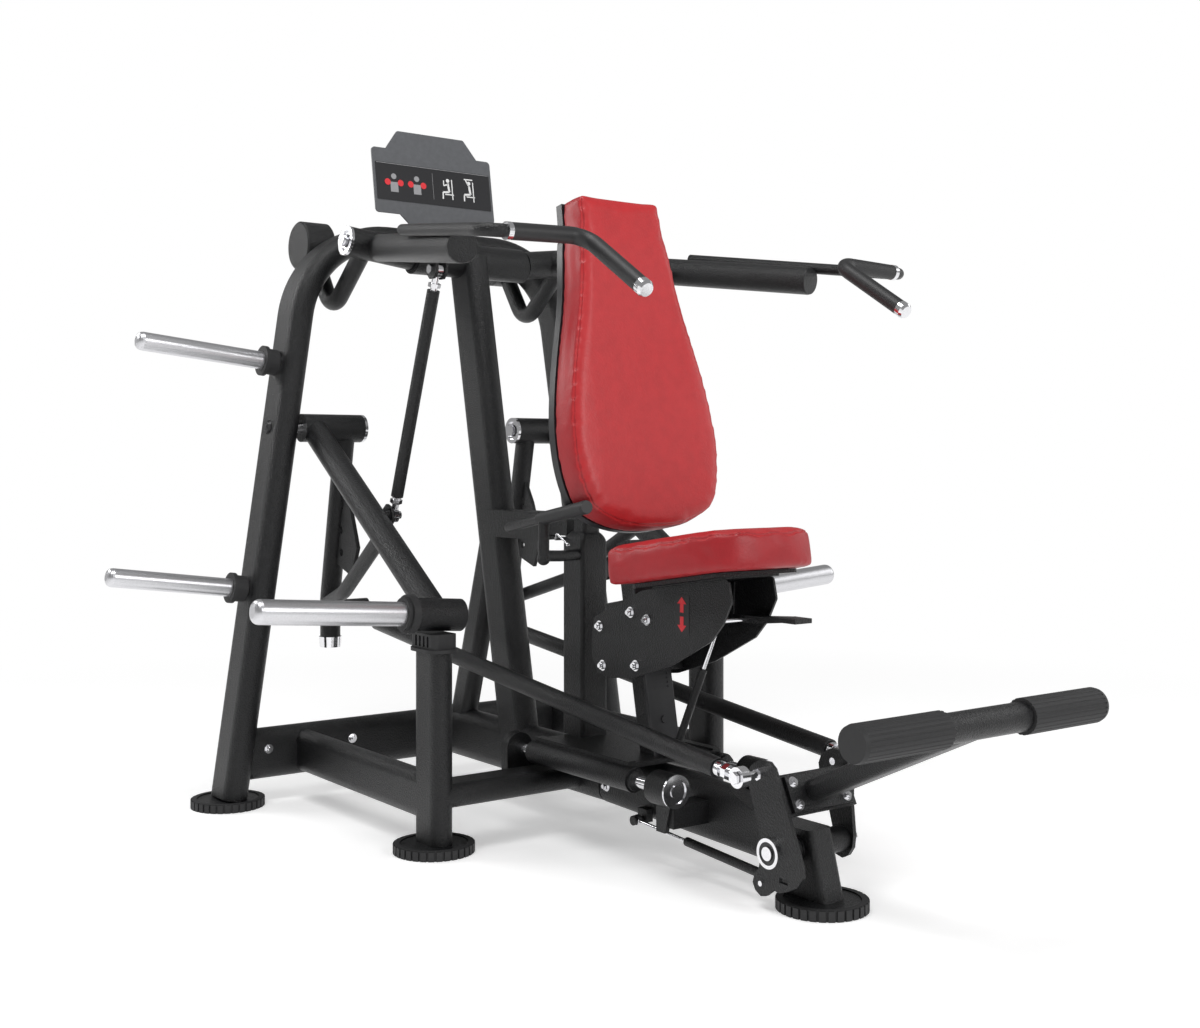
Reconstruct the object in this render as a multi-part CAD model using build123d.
from build123d import *
import math
import os

# Plate-loaded shoulder press machine, millimetres.
# Frame: +Z up, the machine faces -Y, X = 0 is its middle plane.
# "right" is the user's right hand side (-X), "left" is +X.
# Origin: centre of the front foot, on the floor.
# Pieces that come in mirrored pairs are drawn on the right hand side.

# ---------------------------------------------------------------- driving dimensions
# Pairs called (y, z) are places in side view. Tube sizes are (long side, short side).
WALL = 3.0                      # tube wall


def bore_of(size):
    """Section inside the wall of a tube."""
    return size[0] - 2 * WALL, size[1] - 2 * WALL


BEAM = (120.0, 60.0)            # main flat-oval tube
BEAM_BORE = bore_of(BEAM)
POST = (100.0, 50.0)            # small flat-oval tube
POST_BORE = bore_of(POST)

FOOT_D, FOOT_H = 170.0, 20.0    # rubber foot
BASE_Z = FOOT_H - 8             # underside of the foot base plates
FRAME_Z = BASE_Z + 6            # top of the base plates, where the frame starts
UPRIGHT_X, UPRIGHT_Y = 559.0, 1396.0    # rear upright at floor level
LEAN = 0.1472                   # inward lean of the rear uprights, mm per mm
TOP_Z = 1365.0                  # top bar axis height
TOP_BEND = 235.0                # bend radius of the portal tube
SIDE_X, SIDE_Y, SIDE_TOP = 372.0, 757.0, 421.0      # side post and its top
REAR_BEAM_Z = 114.0             # axis heights of the base tubes
SIDE_RAIL_Z = 112
CROSS_BAR_Z = 117
SPINE_Z = 134.0                 # rear section of the spine
SPINE_SPLIT = 640.0             # joint between the spine sections
COLUMN_TOP = 143.0

AXLE_R = 12.5                   # press, lever and crank axles
AXLE_BORE = AXLE_R + 0.05       # bore of a hub turning on an axle
PRESS_Y, PRESS_Z = 1231.0, 1306.0       # press cross tube axis
CROSS_HALF, CROSS_R = 160.0, 42.0
HUB_TILT = 7.0                  # outward tilt of the press axes, degrees
HUB_R = 35.0
ARM_R = 32.0
ARM_END = Vector(-459, 501, 1221)
HANDLE_R, GRIP_R, HANDLE_BEND = 12.5, 16.0, 38
LINK_X = 305.0                  # connecting rod plane
LINK_TOP = (859.0, 1225.0)      # (y, z) of its upper and lower pin
LINK_BOTTOM = (1054.0, 688.0)

LEVER = (1371.0, 890.0)         # lever pivot (y, z)
LEVER_R = 30.0                  # lever tube
LEVER_HUB_R = 34
LEVER_OUT, LEVER_IN = -385.0, -228.0    # ends of the right hand lever hub
HORN_R = 25.0                   # weight horn

SHAFT_X, SHAFT_Z, SHAFT_R = 118.0, 177.0, 12.5      # carriage guide shafts
SLEEVE_R = 25.0                 # carriage sleeves on the shafts
DECK_Z0 = SPINE_Z + BEAM[0] / 2 + 3     # carriage deck, underside and top
DECK_Z = DECK_Z0 + 10
BACK_LEAN = 10.9                # backrest and seat guide lean, degrees
SEAT_TILT = 8.6                 # seat cushion tilt, degrees

CRANK = (37.0, 107.0)           # foot lever pivot (y, z)
CRANK_X0, CRANK_X1 = 87.0, 95.0         # inner and outer face of a crank plate
SPRING_PIN = (59.0, 48.0)       # return spring pin on the right crank plate (y, z)
ASSIST_PIN = (61.0, 246.0)      # assist rod front pin (y, z)
ASSIST_X, ASSIST_R = 145.0, 19.0
ROLLER = (-362.0, 389.0)        # foot roller axis (y, z)
ROLLER_HALF = 301.0

X_DIR = Vector(1, 0, 0)
UP = (0, 0, 1)

pieces = []     # (node, shape, body, outer envelope or None), in order of precedence


# ---------------------------------------------------------------- helpers
def add_piece(node, shape, body="frame", env=None):
    """Add a piece to a node; env is its outer form when the piece is hollow."""
    pieces.append((node, shape, body, env))


def mirrored(shape):
    return mirror(shape, about=Plane.YZ)


def add_pair(node, shape, body="frame", env=None):
    """Right hand piece and its mirror image; # in a name stands for the side."""
    add_piece(node.replace("#", "right"), shape, body.replace("#", "right"), env)
    add_piece(node.replace("#", "left"), mirrored(shape), body.replace("#", "left"),
              mirrored(env) if env is not None else None)


def add_group_pair(node, shapes, body):
    """Several right hand solids as one piece, and their mirror images."""
    copies = [mirrored(s) for s in shapes]
    for side, group in (("right", shapes), ("left", copies)):
        add_piece(node.replace("#", side), Compound(children=group), body.replace("#", side))


def with_mirrors(*shapes):
    return Compound(children=[*shapes, *[mirrored(s) for s in shapes]])


def largest(shape):
    return max(shape.solids(), key=lambda s: s.volume)


def rod(p, q, r, r2=None):
    """Round bar, or a cone frustum, from p to q."""
    p, q = Vector(p), Vector(q)
    run = q - p
    plane = Plane(origin=p, z_dir=run)
    standing = (Align.CENTER, Align.CENTER, Align.MIN)
    if r2 is None:
        return plane * Cylinder(r, run.length, align=standing)
    return plane * Cone(r, r2, run.length, align=standing)


def ring(p, q, r, bore):
    unit = (Vector(q) - Vector(p)).normalized()
    return rod(p, q, r) - rod(Vector(p) - unit, Vector(q) + unit, bore)


def rod_x(x0, x1, yz, r):
    return rod((x0, *yz), (x1, *yz), r)


def ring_x(x0, x1, yz, r, bore):
    return ring((x0, *yz), (x1, *yz), r, bore)


def across(centre, half, r):
    """Round bar along X, centred on a point."""
    return rod(centre - X_DIR * half, centre + X_DIR * half, r)


def section_plane(p, q, up):
    """Plane square to p-q with its x axis along up, and the distance p-q."""
    run = Vector(q) - Vector(p)
    z = run.normalized()
    side = Vector(up)
    side = (side - z * side.dot(z)).normalized()
    return Plane(origin=Vector(p), x_dir=side, z_dir=z), run.length


def oval(p, q, size, up=(0, 1, 0), bore=None):
    """Flat-oval bar or tube from p to q, its long side along up."""
    plane, length = section_plane(p, q, up)
    sketch = SlotOverall(*size)
    if bore:
        sketch = sketch - SlotOverall(*bore)
    return extrude(plane * sketch, length)


def box_bar(p, q, size, r=8):
    """Rounded box bar from p to q, its first side towards Y."""
    plane, length = section_plane(p, q, (0, 1, 0))
    return extrude(plane * RectangleRounded(*size, r), length)


def bent(points, r, bend, bore=None):
    """Round bar or tube along a polyline with filleted corners."""
    path = FilletPolyline(*[Vector(p) for p in points], radius=bend)
    sketch = Circle(r) if bore is None else Circle(r) - Circle(bore)
    return sweep(Plane(origin=path @ 0, z_dir=path % 0) * sketch, path=path)


def plate_yz(points, x0, x1, r=None):
    """Flat plate of (y, z) points between x0 and x1, corners rounded by r."""
    plane = Plane(origin=(x0, 0, 0), x_dir=(0, 1, 0), z_dir=(1, 0, 0))
    sketch = make_face(Polyline(*[Vector(y, z) for y, z in points], close=True))
    if r:
        sketch = fillet(sketch.vertices(), r)
    return extrude(plane * sketch, x1 - x0)


def fork(points, inner, outer, x=0):
    """Two equal plates, inner to outer from the plane x on both sides."""
    return plate_yz(points, x - outer, x - inner) + plate_yz(points, x + inner, x + outer)


def hexagon(p, q, flats):
    """Hexagon bar from p to q, flats wide across the flats."""
    p, q = Vector(p), Vector(q)
    sketch = RegularPolygon(flats / 2 / math.cos(math.pi / 6), 6)
    return extrude(Plane(origin=p, z_dir=q - p) * sketch, (q - p).length)


def bolt(p, direction, r=6.5, head=8.0):
    """Hexagon bolt head on a washer, standing on p, with the bolt's end above it."""
    p, n = Vector(p), Vector(direction).normalized()
    head_top = p + n * (2 + head * .7)
    return rod(p, p + n * 2, r * 1.75) + hexagon(p + n * 2, head_top, r * 2.2) \
        + rod(head_top, p + n * (head + 4), r * .7)


# (distance from the tip, loss of radius) of a horn's rounded end
HORN_TIP = [(14, 0), (9, 1.0), (5, 3.2), (2, 6.6), (0, 12.0)]


def horn(p, q, r):
    """Round bar from p to q with a rounded tip at q."""
    unit = (Vector(q) - Vector(p)).normalized()
    shape = rod(p, Vector(q) - unit * HORN_TIP[0][0], r)
    for (d0, loss0), (d1, loss1) in zip(HORN_TIP, HORN_TIP[1:]):
        shape = shape + rod(Vector(q) - unit * d0, Vector(q) - unit * d1, r - loss0, r - loss1)
    return shape


# ---------------------------------------------------------------- feet
FEET = [(0, 0), (-SIDE_X, SIDE_Y), (SIDE_X, SIDE_Y), (-UPRIGHT_X, UPRIGHT_Y),
        (UPRIGHT_X, UPRIGHT_Y)]
FOOT_LUGS = 32


def foot(x, y):
    """Dished disc with lugs around its rim."""
    shape = rod((x, y, 0), (x, y, FOOT_H), FOOT_D / 2 - 3)
    shape = shape - rod((x, y, FOOT_H - 8), (x, y, FOOT_H + 1), FOOT_D / 2 - 14)
    lug_r = FOOT_D / 2 - 4
    for i in range(FOOT_LUGS):
        a = i * 2 * math.pi / FOOT_LUGS
        lug = Box(8, 12, FOOT_H - 1, align=(Align.CENTER, Align.CENTER, Align.MIN))
        shape = shape + Pos(x + lug_r * math.cos(a), y + lug_r * math.sin(a), 0) \
            * Rot(0, 0, math.degrees(a)) * lug
    return shape


add_piece("rubber_feet", Compound(children=[foot(x, y) for x, y in FEET]))
add_piece("welded_brackets", Compound(children=[
    rod((x, y, BASE_Z), (x, y, FRAME_Z), FOOT_D / 2 - 15) for x, y in FEET]))
below_frame = Pos(0, 0, FRAME_Z - 200) * Box(3000, 4000, 400)


# ---------------------------------------------------------------- portal
# Two bent uprights that meet in the middle of the top bar.
def upright_x(z):
    """X of the right hand upright's axis at height z."""
    return -(UPRIGHT_X - LEAN * z)


portal_path = FilletPolyline(Vector(upright_x(FRAME_Z), UPRIGHT_Y, FRAME_Z),
                             Vector(upright_x(TOP_Z), UPRIGHT_Y, TOP_Z),
                             Vector(0, UPRIGHT_Y, TOP_Z), radius=TOP_BEND)
portal_start = Plane(origin=portal_path @ 0, x_dir=(0, 1, 0), z_dir=portal_path % 0)
portal = sweep(portal_start * SlotOverall(*BEAM), path=portal_path)
portal_bore = sweep(portal_start * SlotOverall(*BEAM_BORE), path=portal_path)
portal = portal - below_frame
add_pair("portal_tubes", portal - portal_bore, env=portal)
portals = portal + mirrored(portal)

# ---------------------------------------------------------------- base
rear_beam = oval((-560, UPRIGHT_Y, REAR_BEAM_Z), (560, UPRIGHT_Y, REAR_BEAM_Z), BEAM, UP)
rear_bore = oval((-561, UPRIGHT_Y, REAR_BEAM_Z), (561, UPRIGHT_Y, REAR_BEAM_Z), BEAM_BORE, UP)
outside = Pos(-760, UPRIGHT_Y, REAR_BEAM_Z) * Box(450, 400, 400) \
    + Pos(760, UPRIGHT_Y, REAR_BEAM_Z) * Box(450, 400, 400)
rear_env = largest(rear_beam - portals - outside)
add_piece("rear_beam", rear_env - rear_bore, env=rear_env)

# side post, and the rail from it back to the rear beam
rail_end = (-SIDE_X, UPRIGHT_Y, SIDE_RAIL_Z)
rail = oval((-SIDE_X, SIDE_Y, SIDE_RAIL_Z), rail_end, POST, UP)
rail_bore = oval((-SIDE_X, SIDE_Y - 60, SIDE_RAIL_Z), rail_end, POST_BORE, UP)
side_post = oval((-SIDE_X, SIDE_Y, FRAME_Z), (-SIDE_X, SIDE_Y, SIDE_TOP), POST)
side_bore = oval((-SIDE_X, SIDE_Y, FRAME_Z - 1), (-SIDE_X, SIDE_Y, SIDE_TOP + 1), POST_BORE)
add_pair("side_posts", side_post - side_bore, env=side_post)
rail_env = largest(rail - rear_beam - side_post)
add_pair("base_rails", rail_env - rail_bore, env=rail_env)

# rubber stop on the side post: a flange around the tube, and a block with four slots a side
BLOCK_W = POST[1] + 8
flange = oval((-SIDE_X, SIDE_Y, SIDE_TOP - 4), (-SIDE_X, SIDE_Y, SIDE_TOP + 3),
              (POST[0] + 22, POST[1] + 22))
block = extrude(Plane(origin=(-SIDE_X, SIDE_Y, SIDE_TOP + 3))
                * RectangleRounded(BLOCK_W, POST[0] - 2, 12), 31)
for slot_y in (-24, -8, 8, 24):
    for side in (-1, 1):
        block = block - Pos(-SIDE_X + side * BLOCK_W / 2, SIDE_Y + slot_y, SIDE_TOP + 18) \
            * Box(7, 7, 22)
stop = flange + block
stop = stop - oval((-SIDE_X, SIDE_Y, SIDE_TOP - 30), (-SIDE_X, SIDE_Y, SIDE_TOP), POST)
add_pair("stop_caps", stop)

# rear section of the spine
spine = oval((0, SPINE_SPLIT + 3, SPINE_Z), (0, UPRIGHT_Y, SPINE_Z), BEAM, UP)
spine_bore = oval((0, SPINE_SPLIT - 3, SPINE_Z), (0, UPRIGHT_Y, SPINE_Z), BEAM_BORE, UP)
spine_env = largest(spine - rear_beam)
add_piece("spine_rear", spine_env - spine_bore, env=spine_env)

# cross bar between the spine and the side post
cross_bar = oval((-SIDE_X, SIDE_Y, CROSS_BAR_Z), (0, SIDE_Y, CROSS_BAR_Z), POST)
cross_bore = oval((-SIDE_X - 9, SIDE_Y, CROSS_BAR_Z), (1, SIDE_Y, CROSS_BAR_Z), POST_BORE)
cross_env = largest(cross_bar - side_post - spine)
add_pair("base_rails", cross_env - cross_bore, env=cross_env)


# front section of the spine, its top cut down towards the front
def spine_top_cut(drop):
    return plate_yz([(262, 184 - drop), (105, 139 - drop), (-80, 139 - drop), (-80, 260),
                     (262, 260)], -60, 60)


front = oval((0, SPINE_SPLIT - 3, SPINE_Z - 1), (0, 30, SPINE_Z - 20), BEAM, UP)
front_bore = oval((0, SPINE_SPLIT + 2, SPINE_Z - 1), (0, 25, SPINE_Z - 20), BEAM_BORE, UP)
front_bore = front_bore - spine_top_cut(3.1)
front = front - spine_top_cut(0)

# leaning front column, with the crank axle through it
COLUMN = (104, 60)
column_head = (0, 70.3, 191)
column = box_bar((0, 13.9, -12), column_head, COLUMN, r=12) - below_frame \
    - Pos(0, 50, COLUMN_TOP + 100) * Box(400, 400, 200)
column_bore = box_bar((0, 11.6, -20), column_head, bore_of(COLUMN), r=9) \
    - Pos(0, 50, COLUMN_TOP + 96) * Box(400, 400, 200)
front_env = largest(front - column)
crank_axle = rod_x(-104, 104, CRANK, AXLE_R)
add_piece("spine_front", front_env - front_bore, env=front_env)
add_piece("front_column", column - column_bore - crank_axle, env=column - crank_axle)

# gasket between the spine sections
add_piece("plastic_plugs", oval((0, SPINE_SPLIT - 3, SPINE_Z), (0, SPINE_SPLIT + 3, SPINE_Z),
                                (BEAM[0] - 4, BEAM[1] - 4), UP))

# ---------------------------------------------------------------- centre A-frame
upright_foot, upright_top = (0, 995, 145), (0, PRESS_Y, PRESS_Z)
upright = oval(upright_foot, upright_top, BEAM)
upright_bore = oval(upright_foot, upright_top, BEAM_BORE)
cross_tube = rod_x(-CROSS_HALF, CROSS_HALF, (PRESS_Y, PRESS_Z), CROSS_R)
upright_env = largest(upright - spine - cross_tube)
add_piece("a_frame", upright_env - upright_bore, env=upright_env)

LEG = (80, 46)
leg_foot, leg_top = (0, 1275, 100), (0, 1100, 662)
leg = oval(leg_foot, leg_top, LEG)
leg_env = largest(leg - spine - upright)
add_piece("a_frame", leg_env - oval(leg_foot, leg_top, bore_of(LEG)), env=leg_env)

# The press cross tube carries both press axles; its ends are cut square to the tilted axes.
tilt = math.radians(HUB_TILT)
press_dir = Vector(-math.cos(tilt), 0, math.sin(tilt))      # right hand press axis, outward


def on_press_axis(distance):
    """Point on the right hand press axis, from where it leaves the cross tube."""
    return Vector(-CROSS_HALF, PRESS_Y, PRESS_Z + 2) + press_dir * distance


end_cut = rod(on_press_axis(-4), on_press_axis(60), 80)
tube_cut = cross_tube - end_cut - mirrored(end_cut)
tie = oval((0, PRESS_Y, PRESS_Z + 14), (0, UPRIGHT_Y, TOP_Z - 10), (84, 44), UP)
axle_hole = rod(on_press_axis(-70), on_press_axis(300), AXLE_R)
add_piece("press_cross_tube", tube_cut - (axle_hole + mirrored(axle_hole)))
add_piece("welded_brackets", largest(tie - cross_tube - portals))

AXLE_OUT = 178.0                # the headed end of the press axle starts just past this
press_axle = rod(on_press_axis(-70), on_press_axis(AXLE_OUT + 9), AXLE_R) \
    + rod(on_press_axis(AXLE_OUT + 4), on_press_axis(AXLE_OUT + 12), 15)
press_axle = press_axle - rod(on_press_axis(AXLE_OUT + 9), on_press_axis(AXLE_OUT + 13), 5)
add_pair("pivot_axles", press_axle)
add_pair("plastic_plugs", ring(on_press_axis(-4), on_press_axis(-1), 36, AXLE_R))

# ---------------------------------------------------------------- storage horns
STORAGE_R = 21.5
STORAGE = [((-436, UPRIGHT_Y, 1046), (-777, UPRIGHT_Y, 1085)),      # (root, tip)
           ((-516, UPRIGHT_Y, 507), (-845, UPRIGHT_Y, 551))]
storage_horns, storage_collars = [], []
for root, tip in STORAGE:
    storage_horns.append(largest(horn(root, tip, STORAGE_R) - portal))
    unit = (Vector(tip) - Vector(root)).normalized()
    start = Vector(root) + unit * 4
    collar = ring(start, start + unit * 36, 31, STORAGE_R) \
        + ring(start + unit * 26, start + unit * 36, 36, STORAGE_R)
    storage_collars.append(largest(collar - portal))
add_piece("storage_horns", with_mirrors(*storage_horns))
add_piece("storage_horn_collars", with_mirrors(*storage_collars))

# round plug on the outer side of each upright
PLUG_Z = 892
plug_x = upright_x(PLUG_Z)
plug = rod((plug_x - 29, UPRIGHT_Y, PLUG_Z), (plug_x - 37, UPRIGHT_Y, PLUG_Z), 17, 15)
plug = plug + rod((plug_x - 37, UPRIGHT_Y, PLUG_Z), (plug_x - 40, UPRIGHT_Y, PLUG_Z), 11, 9)
add_piece("plastic_plugs", with_mirrors(largest(plug - portal)))

# bolts on the front of the rear beam and on the sides of the spine joint
beam_bolts = [largest(bolt((x, UPRIGHT_Y - 29.5, 128), (0, -1, 0)) - rear_beam)
              for x in (-470, -250)]
joint_bolts = [largest(bolt((-BEAM[1] / 2 + .2, SPINE_SPLIT - 26, SPINE_Z + z), (-1, 0, 0)) - front)
               for z in (8, -18)]
add_piece("frame_bolts", with_mirrors(*beam_bolts, *joint_bolts))

# ---------------------------------------------------------------- guide shafts of the carriage
BLOCK_Y0, BLOCK_Y1 = 272.0, 333.0       # front bearing block
BRACKET_Y0, BRACKET_Y1 = 818.0, 842.0   # rear bracket
BEARING_R = 33
bracket_mid = (BRACKET_Y0 + BRACKET_Y1) / 2
bracket_len = BRACKET_Y1 - BRACKET_Y0


def on_shaft(y):
    return (-SHAFT_X, y, SHAFT_Z)


shaft = rod(on_shaft(BLOCK_Y0 + 6), on_shaft(BRACKET_Y1 - 2), SHAFT_R)
add_piece("guide_shafts", with_mirrors(shaft))

block = rod(on_shaft(BLOCK_Y0 + 4), on_shaft(BLOCK_Y1), BEARING_R)
block = block + plate_yz([(BLOCK_Y0 + 6, SHAFT_Z), (BLOCK_Y1 - 4, SHAFT_Z), (BLOCK_Y1 - 4, 92),
                          (BLOCK_Y0 + 30, 92)], -SHAFT_X - 5, -SHAFT_X + 5) \
    + Pos(-70, (BLOCK_Y0 + BLOCK_Y1) / 2 + 2, 125) * Box(96, 46, 44)
add_pair("shaft_brackets", largest(block - front - shaft))

bracket = rod(on_shaft(BRACKET_Y0), on_shaft(BRACKET_Y1), BEARING_R)
bracket = bracket + Pos(-SHAFT_X, bracket_mid, SHAFT_Z - 36) * Box(66, bracket_len, 72) \
    + Pos(-65, bracket_mid, 150) * Box(86, bracket_len, 60)
add_pair("shaft_brackets", largest(bracket - spine - shaft - cross_bar))

# ring and bolt at the front end of each shaft
end_ring = ring(on_shaft(BLOCK_Y0), on_shaft(BLOCK_Y0 + 4), BEARING_R, 24) \
    + ring(on_shaft(BLOCK_Y0 + 3), on_shaft(BLOCK_Y0 + 4), BEARING_R, 12.6)
add_piece("guide_shafts", with_mirrors(end_ring))
add_piece("guide_shafts", with_mirrors(rod(on_shaft(BLOCK_Y0 + 1), on_shaft(BLOCK_Y0 + 6), 12.4)))

# ---------------------------------------------------------------- placard on the top bar
PLACARD_LEAN = math.radians(9)
bar_top = TOP_Z + BEAM[1] / 2
PLACARD = Plane(origin=(0, UPRIGHT_Y - 14, bar_top), x_dir=(1, 0, 0),
                z_dir=(0, -math.cos(PLACARD_LEAN), math.sin(PLACARD_LEAN)))
neck = make_face(Polyline((-70, 0), (70, 0), (70, 4), (108, 42), (-108, 42), (-70, 4), close=True))
board = Pos(0, 125) * RectangleRounded(350, 170, 10)
tab = make_face(Polyline((-138, 205), (138, 205), (98, 260), (-98, 260), close=True))
tab = fillet(tab.vertices().sort_by(Axis.Y)[2:], 8)
placard = extrude(PLACARD * (neck + board + tab), 4)
placard = placard + Pos(0, UPRIGHT_Y - 10, bar_top + 2) * Box(130, 40, 4)
placard = placard - Pos(0, UPRIGHT_Y, bar_top - 50) * Box(400, 200, 100)
add_piece("placard_plate", placard)
add_piece("placard_panel",
          extrude(PLACARD.offset(4) * Pos(0, 123) * RectangleRounded(336, 98, 3), 1.2))
add_piece("frame_bolts", Compound(children=[
    bolt((x, UPRIGHT_Y - 4, bar_top + 4), UP, r=4, head=5) for x in (-45, 45)]))

# upper guide channel of the seat carriage, on the A-frame upright
TONGUE_Z = 662
channel = Pos(0, 990, TONGUE_Z) * Box(64, 230, 64) - Pos(0, 990, TONGUE_Z) * Box(54, 232, 46)
add_piece("welded_brackets", largest(channel - upright))

# ---------------------------------------------------------------- seat carriage
SLEEVE_Y0, SLEEVE_Y1 = 403.0, 759.0
SLEEVE_BORE = SHAFT_R + 0.05
sleeve = ring(on_shaft(SLEEVE_Y0), on_shaft(SLEEVE_Y1), SLEEVE_R, SLEEVE_BORE)
sleeve = sleeve + ring(on_shaft(SLEEVE_Y0 - 8), on_shaft(SLEEVE_Y0), SLEEVE_R - 4, SLEEVE_BORE)
add_pair("carriage_sleeves", sleeve, "carriage",
         rod(on_shaft(SLEEVE_Y0 - 8), on_shaft(SLEEVE_Y1), SLEEVE_R))

deck = Pos(0, 585, DECK_Z0 + 5) * Box(236, 330, 10)
for side in (-1, 1):
    deck = deck + Pos(side * 112, 585, SHAFT_Z + 22) * Box(20, 330, 24)
for side in (-1, 1):
    deck = deck - rod((side * SHAFT_X, 300, SHAFT_Z), (side * SHAFT_X, 900, SHAFT_Z), SLEEVE_R)
add_piece("carriage_deck", deck, "carriage")

# back post with the hole for the hitch pin, the tube above it and the tongue behind it
BACK_POST_Y = 735.0
POST_X, POST_Y = 70, 75         # back post section
hitch = Vector(-35.4, 756, 640)
back_post = extrude(Plane(origin=(0, BACK_POST_Y, DECK_Z)) * RectangleRounded(POST_X, POST_Y, 8),
                    660 - DECK_Z)
back_post = fillet(back_post.edges().filter_by(Axis.X).group_by(Axis.Z)[-1], 30)
post_bore = extrude(Plane(origin=(0, BACK_POST_Y, DECK_Z - 1))
                    * RectangleRounded(POST_X - 2 * WALL, POST_Y - 2 * WALL, 5), 620 - DECK_Z)
hitch_hole = rod(hitch + X_DIR * 30, hitch - X_DIR * 5, 4.1)
back_tube = box_bar((0, BACK_POST_Y + 2, 600), (0, BACK_POST_Y - 52, 1060), (44, 44))
tongue = Pos(0, 880, TONGUE_Z) * Box(44, 212, 36)
tongue = tongue - back_post - Pos(0, BACK_POST_Y, 640) * Box(POST_X, POST_Y, 200)
add_piece("back_post", back_post - post_bore - hitch_hole, "carriage", back_post - hitch_hole)
add_piece("back_post", largest(back_tube - back_post), "carriage")
add_piece("carriage_deck", largest(tongue), "carriage")

# inclined guide post of the seat, with a ribbed plastic cover on its front
lean = math.radians(BACK_LEAN)
guide_dir = Vector(0, math.sin(lean), math.cos(lean))
guide_front = Vector(0, -guide_dir.Z, guide_dir.Y)      # forward, square to the guide
guide_foot = Vector(0, 478, DECK_Z)
guide_top = guide_foot + guide_dir * ((640 - DECK_Z) / guide_dir.Z)
below_deck = Pos(0, 500, DECK_Z - 100) * Box(400, 600, 200)
guide_post = box_bar(guide_foot - guide_dir * 30, guide_top, (50, 58), r=6)
guide_bore = box_bar(guide_foot - guide_dir * 40, guide_top - guide_dir * 3, (44, 52), r=4)
guide_post = guide_post - below_deck
add_piece("seat_guide_post", guide_post - guide_bore, "carriage", guide_post)

cover_strip = box_bar(guide_foot + guide_front * 29.5 - guide_dir * 30,
                      guide_top + guide_front * 29.5, (9, 72), r=3) - below_deck
cover = cover_strip
cover_face = guide_foot + guide_front * 34
for i in range(4):
    for first in (132, 345):
        groove = Plane(origin=cover_face + guide_dir * (first + 9 * i), x_dir=(1, 0, 0),
                       z_dir=guide_front)
        cover = cover - groove * Box(44, 4, 3)
add_piece("guide_cover", cover, "carriage")
screw = cover_face + guide_dir * 66
add_piece("guide_cover", rod(screw, screw + guide_front * 3, 8, 7), "carriage")

# ---------------------------------------------------------------- backrest
PAD_T, SHELL_T = 70, 20         # cushion and shell thickness
back_front = Vector(0, -math.cos(lean), math.sin(lean))
BACK = Plane(origin=(0, 470, 680), x_dir=(1, 0, 0), z_dir=back_front)   # local y runs up
# half outline of the back, (half width, distance up), bottom to top
BACK_HALF = [(0, -8), (111, 10), (160, 38), (186, 92), (196, 180), (184, 291), (159, 402),
             (134, 514), (118, 626), (110, 712)]
BACK_HALF_W = 196.0


def back_face(inset):
    """Outline of the back, shrunk by about inset."""
    scale_x = (BACK_HALF_W - inset) / BACK_HALF_W
    points = [(x * scale_x, y * (1 - inset / 380) + inset * .9) for x, y in BACK_HALF]
    half = Spline(*points, tangents=[(1, 0), (-0.04, 1)])
    other = mirrored(half)
    return make_face([half, Line(half @ 1, other @ 1), other])


add_piece("back_cushion", extrude(BACK * back_face(0), -PAD_T), "carriage")
add_piece("back_shell", extrude(BACK.offset(-PAD_T) * back_face(4), -SHELL_T), "carriage")

# T-shaped brackets between the shell and the back tube
in_front_of_shell_back = Plane(origin=BACK.origin - back_front * (PAD_T + SHELL_T),
                               x_dir=(1, 0, 0), z_dir=back_front) \
    * Box(600, 2000, 400, align=(Align.CENTER, Align.CENTER, Align.MIN))
brackets = []
for z in (790, 980):
    y = 470 + (z - 680) * math.tan(lean) + (PAD_T + SHELL_T) / math.cos(lean) + 40
    bracket = Pos(0, y, z) * Box(90, 160, 8) + Pos(0, y, z - 25) * Box(8, 160, 44)
    bracket = bracket - back_tube - in_front_of_shell_back
    brackets.append(min(bracket.solids(), key=lambda s: s.center().Y))
add_piece("back_post", Compound(children=brackets), "carriage")

# ---------------------------------------------------------------- side handle and hitch pin
SIDE_BAR_R = 10.5
bar_back, bar_front = Vector(-154, 806, 666), Vector(-192, 466, 720)
bar_dir = (bar_front - bar_back).normalized()
grip_start = bar_back + bar_dir * 150
drop_top = grip_start + bar_dir * 14
drop_x, drop_y, drop_z = drop_top.X + 2, drop_top.Y + 4, 606
bar = rod(bar_back, bar_front - bar_dir * 4, SIDE_BAR_R)
bar = bar + Pos(bar_back.X, bar_back.Y, bar_back.Z) * Sphere(SIDE_BAR_R)
drop = rod(drop_top, (drop_x, drop_y, drop_z), 12)
side_arm = bent([(drop_x, drop_y, 612), (-90, 700, drop_z), (0, 722, drop_z)], 12, 20)
side_handle = bar + drop + side_arm + Pos(drop_x, drop_y, drop_z) * Sphere(14)
side_grip = ring(grip_start, bar_front, 14, SIDE_BAR_R) \
    + rod(bar_front - bar_dir * 4, bar_front + bar_dir * 3, 14.5, 13)
add_piece("side_handle", largest(side_handle - back_post), "carriage")
add_piece("side_handle_grip", largest(side_grip - drop), "carriage")

hitch_wire = [hitch - Vector(26, 0, 0), hitch - Vector(34, 8, -14), hitch - Vector(24, 40, 12)]
hitch_pin = rod(hitch + X_DIR * 22, hitch - X_DIR * 30, 4) + bent(hitch_wire, 2.2, 6) \
    + Pos(hitch.X - 24, hitch.Y - 40, hitch.Z - 12) * Sphere(4.5)
add_piece("hitch_pin", hitch_pin, "hitch_pin")

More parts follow.
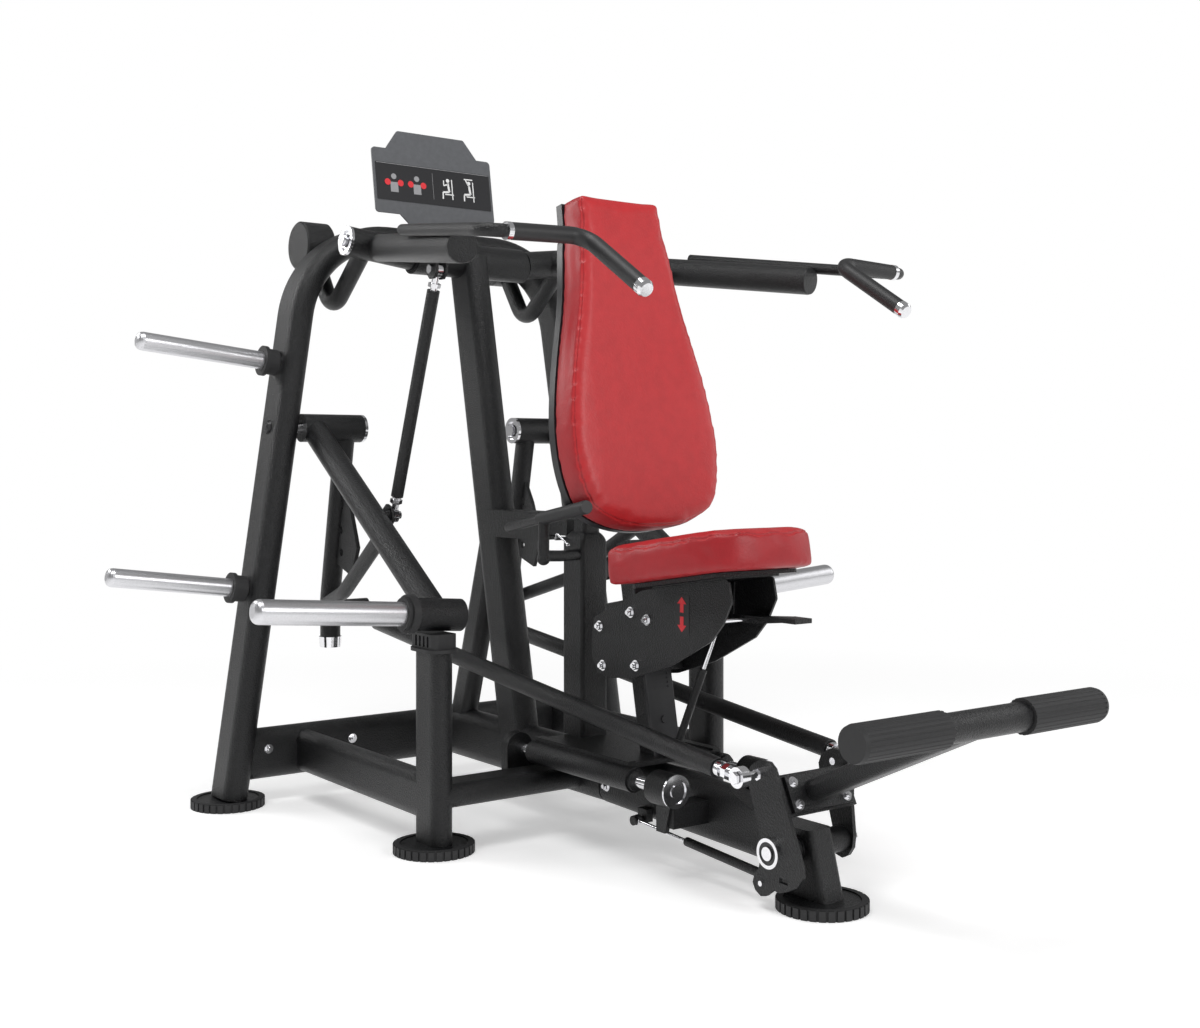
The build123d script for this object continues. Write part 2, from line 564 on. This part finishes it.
# ---------------------------------------------------------------- seat, sliding on the guide post
# seat plate outline, (y, z)
SEAT_OUTLINE = [(622, 478), (600, 487), (452, 548), (190, 588), (180, 545), (205, 500),
                (240, 464), (360, 404), (480, 366), (560, 356), (606, 360), (628, 400)]
SEAT_X = 60.0                   # outer face of a seat plate
seat_plate = plate_yz(SEAT_OUTLINE, -SEAT_X, -SEAT_X + 5, r=9)
add_pair("seat_plates", seat_plate, "seat")

# slider box around the guide post, with pads at both ends
slider_low, slider_high = guide_foot + guide_dir * 165, guide_foot + guide_dir * 318
slider = box_bar(slider_low, slider_high, (108, 109), r=5) \
    - box_bar(slider_low - guide_dir * 5, slider_high + guide_dir * 5, (84, 80), r=3)
add_piece("seat_slider", slider, "seat")
pads = []
for centre in (slider_low + guide_dir * 14, slider_high - guide_dir * 14):
    for side in (-1, 1):
        pads.append(Plane(origin=centre + X_DIR * (side * 34.5), x_dir=(0, 1, 0),
                          z_dir=guide_dir) * Box(40, 10.8, 24))
    pads.append(Plane(origin=centre - guide_front * 33.6, x_dir=(1, 0, 0), z_dir=guide_dir)
                * Box(50, 16.6, 24))
add_piece("seat_slider", Compound(children=[largest(p - guide_post) for p in pads]), "seat")

# pan and cushion; local -y of the seat plane runs forward along the seat
seat_tilt = math.radians(SEAT_TILT)
SEAT = Plane(origin=(0, 449, 561), x_dir=(1, 0, 0),
             z_dir=(0, math.sin(seat_tilt), math.cos(seat_tilt)))
pan = extrude(SEAT * Pos(0, -150) * RectangleRounded(210, 270, 14), -8)
pan = pan + extrude(SEAT * Pos(0, -150) * Rectangle(118, 250), -12) \
    - seat_plate - mirrored(seat_plate)
pan = pan + box_bar((-SEAT_X + 5.5, 420, 546), (SEAT_X - 5.5, 420, 546), (12, 12), r=2)
pan = largest(pan)
add_piece("seat_plates", pan, "seat")


def seat_face():
    # (half width, -distance forward), from the back edge to the middle of the front
    half = Spline((164, -10), (168, -120), (150, -240), (118, -312), (0, -344),
                  tangents=[(0, -1), (-1, 0)])
    other = mirrored(half)
    return make_face([half, other, Line(other @ 0, half @ 0)])


add_piece("seat_cushion", extrude(SEAT.offset(0.5) * seat_face(), 74), "seat")

SEAT_BOLTS = [(598, 462), (491, 500), (437, 489), (587, 380), (474, 392)]       # (y, z)
seat_bolts = []
for y, z in SEAT_BOLTS:
    for side in (-1, 1):
        seat_bolts.append(bolt((side * SEAT_X, y, z), (side, 0, 0)))
add_piece("seat_bolts", Compound(children=seat_bolts), "seat")

PADDLE_PIN = (240, 503)         # (y, z)
add_piece("seat_bolts", rod_x(-SEAT_X + 5, SEAT_X - 5, PADDLE_PIN, 5), "seat")

# lugs under the pan for the gas spring
lugs = fork([(255, 575), (285, 575), (282, 512), (258, 512)], 13, 17)
lugs = lugs - pan - Pos(0, 270, 640) * Box(60, 100, 60)
add_piece("seat_slider", Compound(children=[lug - pan for lug in lugs.solids()]), "seat")

# release paddle, (y, z) outline
PADDLE = [(248, 511), (248, 495), (200, 497), (130, 505), (88, 506), (88, 516), (130, 516),
          (200, 511)]
paddle = plate_yz(PADDLE, 22, 50, r=3)
paddle = paddle + Pos(36, 108, 511) * Box(44, 46, 9)
add_piece("release_paddle", paddle - rod_x(-100, 100, PADDLE_PIN, 5.05), "paddle")

# gas spring of the seat, from the clevis on the deck up to the pan
spring_low, spring_high = Vector(0, 418, 221), Vector(0, 270, 520)
spring_dir = (spring_high - spring_low).normalized()
cylinder = rod(spring_low + spring_dir * 7, spring_low + spring_dir * 195, 8) \
    - rod(spring_low + spring_dir * 60, spring_low + spring_dir * 200, 4.05)
cylinder = cylinder + across(spring_low, 7, 10) - across(spring_low, 30, 5.05)
add_piece("seat_spring_cylinder", cylinder, "seat_spring")
piston = rod(spring_low + spring_dir * 100, spring_high - spring_dir * 6, 4.0) \
    + across(spring_high, 7, 9) - across(spring_high, 9, 5)
add_piece("seat_spring_rod", piston, "seat_spring_rod")
clevis = fork([(400, DECK_Z), (436, DECK_Z), (428, 232), (408, 232)], 13, 18)
clevis = clevis + across(spring_low, 18, 5)
add_piece("carriage_deck", largest(clevis - guide_post - cover_strip), "carriage")

# ---------------------------------------------------------------- press arms
HUB_IN, HUB_OUT = 4, 172        # hub ends along the press axis
hub = ring(on_press_axis(HUB_IN), on_press_axis(HUB_OUT), HUB_R, AXLE_BORE)
hub_bore = rod(on_press_axis(HUB_IN - 5), on_press_axis(HUB_OUT + 5), AXLE_BORE)
arm_start = on_press_axis(92)
arm_dir = (ARM_END - arm_start).normalized()
arm_tube = rod(arm_start, ARM_END, ARM_R)

# handle bar: along the flank of the arm, around the corner, inwards, then forward and down
HANDLE = [Vector(-397, 845, 1301), Vector(-550, 283, 1219), Vector(-328, 281, 1226),
          Vector(-331, 100, 1113)]
handle = bent(HANDLE, HANDLE_R, HANDLE_BEND)

# counterweight disc on a bent tube behind the hub
WEIGHT_AT = Vector(-285, 1521, 1352)
weight_tube = bent([(-285, 1231, 1318), (-285, 1404, 1180), WEIGHT_AT], 21, 48)
weight = across(WEIGHT_AT, 38, 61)
weight = chamfer(weight.edges().filter_by(GeomType.CIRCLE), 4)

# lug for the connecting rod, hanging under the arm
link_y, link_z = LINK_TOP
lug_outline = [(link_y - 20, link_z - 8), (link_y - 8, link_z - 20), (link_y + 8, link_z - 20),
               (link_y + 20, link_z - 8), (link_y + 26, link_z + 40), (link_y - 26, link_z + 40)]
lug = fork(lug_outline, 9, 15, -LINK_X)
lug = lug + Pos(-LINK_X - 14, link_y, link_z + 36) * Box(60, 52, 10)

arm = hub + arm_tube + weight_tube + lug
arm = arm - hub_bore - weight - rod(arm_start + arm_dir * 48, ARM_END + arm_dir, ARM_R - WALL)
link_top = Vector(-LINK_X, *LINK_TOP)
top_pin = across(link_top, 15, 6)
add_pair("press_arm_#", largest(arm) - top_pin, "press_arm_#")
add_pair("press_arm_#", largest(handle - arm_tube), "press_arm_#")
add_pair("press_fittings_#",
         top_pin + hexagon(link_top - X_DIR * 21, link_top - X_DIR * 15, 18)
         + hexagon(link_top + X_DIR * 15, link_top + X_DIR * 21, 18), "press_arm_#")
add_pair("press_arm_#", weight, "press_arm_#")
end_cap = rod(ARM_END, ARM_END + arm_dir * 5, ARM_R, ARM_R - 1.5)
add_pair("press_arm_#", end_cap - handle, "press_arm_#")

# chrome bearing cover at the outer end of the hub
add_pair("press_fittings_#", ring(on_press_axis(HUB_OUT), on_press_axis(HUB_OUT + 7), HUB_R, 24)
         + ring(on_press_axis(HUB_OUT), on_press_axis(HUB_OUT + 2), HUB_R, 16), "press_arm_#")

# rubber grip around the inner corner of the handle, with chrome collars at its ends
COLLAR_R = GRIP_R + .5
inward = (HANDLE[2] - HANDLE[1]).normalized()
forward = (HANDLE[3] - HANDLE[2]).normalized()
grip_outer = HANDLE[1] + inward * 58
grip_front = HANDLE[3] - forward * 12
add_pair("handle_grip_#", bent([grip_outer, HANDLE[2], grip_front], GRIP_R, HANDLE_BEND, HANDLE_R),
         "press_arm_#")
outer_collar = ring(grip_outer - inward * 10, grip_outer, COLLAR_R, HANDLE_R)
front_collar = ring(grip_front, HANDLE[3], COLLAR_R, HANDLE_R) \
    + rod(HANDLE[3], HANDLE[3] + forward * 6, COLLAR_R, GRIP_R - 3)
add_group_pair("press_fittings_#", [outer_collar, front_collar], "press_arm_#")

# ---------------------------------------------------------------- connecting rods with rod ends
link_bottom = Vector(-LINK_X, *LINK_BOTTOM)
link_dir = (link_bottom - link_top).normalized()
add_pair("connecting_rod_#", rod(link_top + link_dir * 46, link_bottom - link_dir * 46, 14),
         "link_#")


def rod_end(centre, direction, bore):
    eye = across(centre, 6, 17) + rod(centre + direction * 14, centre + direction * 46, 7.5) \
        + hexagon(centre + direction * 30, centre + direction * 39, 24)
    return eye - across(centre, 9, bore)


add_group_pair("connecting_rod_#", [rod_end(link_top, link_dir, 9.0),
                                    rod_end(link_bottom, -link_dir, 12.0)], "link_#")

# ---------------------------------------------------------------- weight levers
lever_hub = ring_x(LEVER_OUT, LEVER_IN, LEVER, LEVER_HUB_R, AXLE_BORE)
lever_end = Vector(-SIDE_X, 749, 493)
horn_dir = Vector(-404, 0, 30.5).normalized()
end_hub = rod(lever_end - horn_dir * 58, lever_end + horn_dir * 56, LEVER_HUB_R)
lever_start = Vector(-352, *LEVER)
lever_tube = rod(lever_start, lever_end, LEVER_R)

# hanging tube with an inward stub, a brace and a drilled gusset
hang = [Vector(-267, *LEVER), Vector(-267, 1453, 470), Vector(-267, 1453, 372)]
hang_tube = bent(hang, 25, 90)
hang_bore = bent([hang[0] + (hang[1] - hang[0]).normalized() * 44, hang[1],
                  hang[2] - Vector(0, 0, 3)], 21.5, 90)
stub = rod_x(-303, -166, (1453, 443), 19)
brace = bent([(-298, 1452, 441), (-325, 1260, 500), (-360, 1000, 650)], 17, 120)
gusset = plate_yz([(1400, 800), (1418, 560), (1330, 530), (1300, 600), (1340, 700)], -272, -262)
for yz in [(1378, 700), (1384, 640), (1382, 585)]:
    gusset = gusset - rod_x(-280, -250, yz, 9)

# plate and boss for the lower pin of the connecting rod
pin_y, pin_z = LINK_BOTTOM
pin_outline = [(pin_y - 24, pin_z - 10), (pin_y - 10, pin_z - 24), (pin_y + 14, pin_z - 20),
               (pin_y + 30, pin_z + 10), (pin_y + 8, pin_z + 26), (pin_y - 14, pin_z + 18)]
pin_plate = plate_yz(pin_outline, -LINK_X - 15, -LINK_X - 9, r=4)
pin_boss = rod_x(-365, -LINK_X - 12, LINK_BOTTOM, 15)

lever = lever_hub + end_hub + lever_tube + hang_tube + stub + brace + gusset + pin_plate + pin_boss
lever_dir = (lever_end - lever_start).normalized()
tube_bore = rod(lever_start + lever_dir * 40, lever_end - lever_dir * 40, LEVER_R - WALL)
vent_top = lever_end - lever_dir * 90
vent = rod(vent_top, vent_top + Vector(0, 0, -60), 4)
lever = lever - rod_x(LEVER_OUT - 5, LEVER_IN + 5, LEVER, AXLE_BORE) - hang_bore - tube_bore - vent
bottom_pin = rod_x(-LINK_X - 9, -LINK_X + 12, LINK_BOTTOM, 5) \
    + rod_x(-LINK_X + 9, -LINK_X + 16, LINK_BOTTOM, 9)
add_pair("weight_lever_#", largest(lever), "lever_#")
add_pair("lever_fittings_#", bottom_pin, "lever_#")
add_pair("pivot_axles", rod_x(-400, LEVER_IN + 12, LEVER, AXLE_R)
         + rod_x(LEVER_IN + 9, LEVER_IN + 14, LEVER, 15))
add_pair("lever_fittings_#", ring_x(LEVER_IN, LEVER_IN + 7, LEVER, LEVER_HUB_R, 24)
         + ring_x(LEVER_IN, LEVER_IN + 2, LEVER, LEVER_HUB_R, 16), "lever_#")

# weight horn and its collar
horn_root = lever_end + horn_dir * 56
add_pair("weight_horn_#", horn(horn_root, lever_end + horn_dir * 405, HORN_R), "lever_#")
add_pair("weight_horn_#", ring(horn_root, horn_root + horn_dir * 16, 40, HORN_R)
         + ring(horn_root + horn_dir * 16, horn_root + horn_dir * 24, 34, HORN_R), "lever_#")

# bolt at the inner end of the horn hub, and the foot of the hanging tube
hub_bolt = bolt(lever_end - horn_dir * 58, -horn_dir, r=9, head=12)
hang_foot = rod(hang[2], (-267, 1453, 346), 28, 26)
add_group_pair("lever_fittings_#", [hub_bolt, hang_foot], "lever_#")

# ---------------------------------------------------------------- foot lever
# Crank plate outlines, (y, z). Both plates share the top and back edges.
CRANK_TOP = [(61, 271), (39, 270), (26, 260), (11, 229)]
CRANK_BACK = [(59, 120), (70, 157), (83, 191), (94, 220), (97, 238), (90, 254), (76, 265)]
CRANK_RIGHT = CRANK_TOP + [
    (-11, 179), (-30, 133), (-45, 98), (-46, 78), (-32, 60), (-6, 47), (15, 40), (27, 43),
    (48, 27), (61, 24), (76, 32), (83, 45), (79, 58), (67, 73), (62, 92)] + CRANK_BACK
CRANK_LEFT = CRANK_TOP + [
    (12, 178), (6, 117), (9, 94), (20, 78), (35, 70), (52, 74), (62, 88), (64, 106)] + CRANK_BACK

crank_bore = rod_x(-120, 120, CRANK, AXLE_BORE)
spring_pin = rod_x(-99, -50, SPRING_PIN, 5)
assist_pin = rod_x(-163, -CRANK_X0, ASSIST_PIN, 7) \
    + hexagon((-163, *ASSIST_PIN), (-156, *ASSIST_PIN), 20) \
    + hexagon((-105, *ASSIST_PIN), (-CRANK_X1, *ASSIST_PIN), 20)
crank_right = plate_yz(CRANK_RIGHT, -CRANK_X1, -CRANK_X0) - crank_bore \
    - Pos(-91, 2, 64) * Box(20, 22, 9)
crank_left = plate_yz(CRANK_LEFT, CRANK_X0, CRANK_X1) - crank_bore
add_piece("crank_plates", crank_right - assist_pin - spring_pin, "foot_lever")
add_piece("crank_plates", crank_left - mirrored(assist_pin), "foot_lever")

# plate across the cranks, and the lever's own flange bolted to it
cross_dir = Vector(0, -0.905, 0.426).normalized()       # forward, square to the plate
cross_up = Vector(0, 0.426, 0.905).normalized()
cross_mid = Vector(0, 18, 210)
add_piece("foot_lever_arm", Plane(origin=cross_mid, x_dir=(1, 0, 0), z_dir=cross_dir)
          * Box(2 * CRANK_X0, 76, 10), "foot_lever")
flange = Plane(origin=cross_mid + cross_dir * 9, x_dir=(1, 0, 0), z_dir=cross_dir) \
    * Box(150, 66, 8)
FOOT_TUBE = (70, 40)
foot_tube = oval(cross_mid + cross_dir * 12, (0, *ROLLER), FOOT_TUBE, X_DIR, bore_of(FOOT_TUBE))
SLEEVE_END = ROLLER_HALF - 8    # end of the roller bar, where the sleeve's end bevel starts
roller_bar = rod_x(-SLEEVE_END, SLEEVE_END, ROLLER, 25)
add_piece("foot_lever_arm", largest(flange + foot_tube - roller_bar), "foot_lever")
add_piece("foot_lever_arm", roller_bar - rod_x(-ROLLER_HALF, ROLLER_HALF, ROLLER, 22),
          "foot_lever", roller_bar)
add_pair("foot_lever_arm", ring_x(-CRANK_X0, -36, CRANK, 24, AXLE_BORE), "foot_lever")
add_piece("crank_fittings", spring_pin, "foot_lever")


def roller_sleeve(x0, x1):
    """Foot roller sleeve with grooves along it."""
    shape = rod_x(x0, x1, ROLLER, 31)
    for i in range(24):
        a = i * math.pi / 12
        groove = (ROLLER[0] + 32.4 * math.cos(a), ROLLER[1] + 32.4 * math.sin(a))
        shape = shape - rod_x(x0 - 1, x1 + 1, groove, 2.4)
    return shape - rod_x(x0 - 1, x1 + 1, ROLLER, 25)


bevel = rod((-ROLLER_HALF, *ROLLER), (-SLEEVE_END, *ROLLER), 29, 31)
add_pair("foot_roller_sleeves", roller_sleeve(-SLEEVE_END, -ROLLER_HALF + 200) + bevel,
         "foot_lever")

# rings on the outer faces of the cranks, the crank axle and its bosses on the column
add_pair("crank_fittings", ring_x(-CRANK_X1 - 7, -CRANK_X1, CRANK, 27.5, 21), "foot_lever")
add_pair("crank_fittings", ring_x(-CRANK_X1 - 5, -CRANK_X1, CRANK, 21, 13.3), "foot_lever")
add_piece("pivot_axles", crank_axle)
bosses = ring_x(-34, 34, CRANK, 24, AXLE_R) - column
add_piece("welded_brackets", Compound(children=list(bosses.solids())))
add_pair("crank_fittings", assist_pin, "foot_lever")
crank_bolts = [bolt(cross_mid + cross_dir * 13 + cross_up * k - X_DIR * 60, cross_dir, r=6, head=6)
               for k in (-20, 20)]
add_piece("crank_fittings", with_mirrors(*crank_bolts), "foot_lever")

# ---------------------------------------------------------------- assist rods
assist_front, assist_back = Vector(-ASSIST_X, *ASSIST_PIN), Vector(-ASSIST_X, 1432, 400)
assist_dir = (assist_back - assist_front).normalized()


def on_assist(distance):
    return assist_front + assist_dir * distance


add_pair("assist_rods", ring(on_assist(62), assist_back, ASSIST_R, ASSIST_R - WALL), "assist_rods")
add_pair("assist_rods", rod(assist_back, assist_back + assist_dir * 8, ASSIST_R, ASSIST_R - 6),
         "assist_rods")
assist_end = across(assist_front, 9.5, 19) + rod(on_assist(14), on_assist(70), 8.5) \
    + hexagon(on_assist(28), on_assist(40), 26) + rod(on_assist(46), on_assist(62), 15)
assist_end = assist_end - across(assist_front, 12, 7.05)
add_piece("assist_rod_ends", with_mirrors(assist_end), "assist_rods")

# ---------------------------------------------------------------- foot return spring
# It runs under the spine, from a bracket forward to the right crank plate.
RETURN_PIN = (471, 76)          # (y, z)
return_back, return_front = Vector(-60, *RETURN_PIN), Vector(-60, *SPRING_PIN)
return_dir = (return_front - return_back).normalized()
bracket = rod_x(-27, -67, RETURN_PIN, 6) + rod_x(-67, -71, RETURN_PIN, 10)
bracket = bracket + Pos(-38, 471, 84) * Box(16, 30, 26) - front
# clear the room of the spring eye, then put the pin through it again
bracket = largest(bracket) - Pos(-60, *RETURN_PIN) * Box(13, 60, 60) \
    + rod_x(-46, -67, RETURN_PIN, 6)
add_piece("welded_brackets", bracket)
piston = across(return_back, 5, 11) \
    + rod(return_back + return_dir * 8, return_back + return_dir * 295, 4)
add_piece("foot_spring_rod", piston - across(return_back, 9, 6.05), "foot_spring")
cylinder = rod(return_back + return_dir * 160, return_front - return_dir * 20, 9) \
    - rod(return_back + return_dir * 150, return_back + return_dir * 340, 4.05)
cylinder = cylinder + rod(return_front - return_dir * 24, return_front - return_dir * 9.5, 4.2) \
    + across(return_front, 6, 12) - across(return_front, 8, 8)
add_piece("foot_spring_cylinder", cylinder, "foot_spring_cylinder")


# ---------------------------------------------------------------- trimming and export
def boxes_meet(a, b):
    """Whether the bounding boxes of two shapes overlap."""
    box_a, box_b = a.bounding_box(), b.bounding_box()
    spans = [(box_a.min.X, box_a.max.X, box_b.min.X, box_b.max.X),
             (box_a.min.Y, box_a.max.Y, box_b.min.Y, box_b.max.Y),
             (box_a.min.Z, box_a.max.Z, box_b.min.Z, box_b.max.Z)]
    return all(a0 < b1 - 1e-3 and b0 < a1 - 1e-3 for a0, a1, b0, b1 in spans)


def shared_volume(shape, env):
    # an intersection may be None or a list without a volume, which counts as nothing
    common = [s & env for s in shape.solids()]
    return sum(c.volume for c in common if c is not None and hasattr(c, "volume"))


def trim(shape, env):
    """Cut env out of each solid it meets, keeping the largest remainder of each."""
    kept = []
    for s in shape.solids():
        if boxes_meet(s, env):
            kept += sorted((s - env).solids(), key=lambda k: -k.volume)[:1]
        else:
            kept.append(s)
    return kept[0] if len(kept) == 1 else Compound(children=kept)


# Pieces of one body don't share space: a later piece gives way to the earlier ones.
placed = []     # (body, envelope)
nodes = {}      # node name -> solids
for node, shape, body, env in pieces:
    for other_body, other_env in placed:
        if other_body == body and boxes_meet(shape, other_env) \
                and shared_volume(shape, other_env) > 0.01:
            shape = trim(shape, other_env)
    placed.append((body, shape if env is None else env))
    nodes.setdefault(node, []).extend(shape.solids())

os.makedirs("parts", exist_ok=True)
for node, solids in nodes.items():
    out = solids[0] if len(solids) == 1 else Compound(children=list(solids))
    export_step(out, os.path.join("parts", node + ".step"))
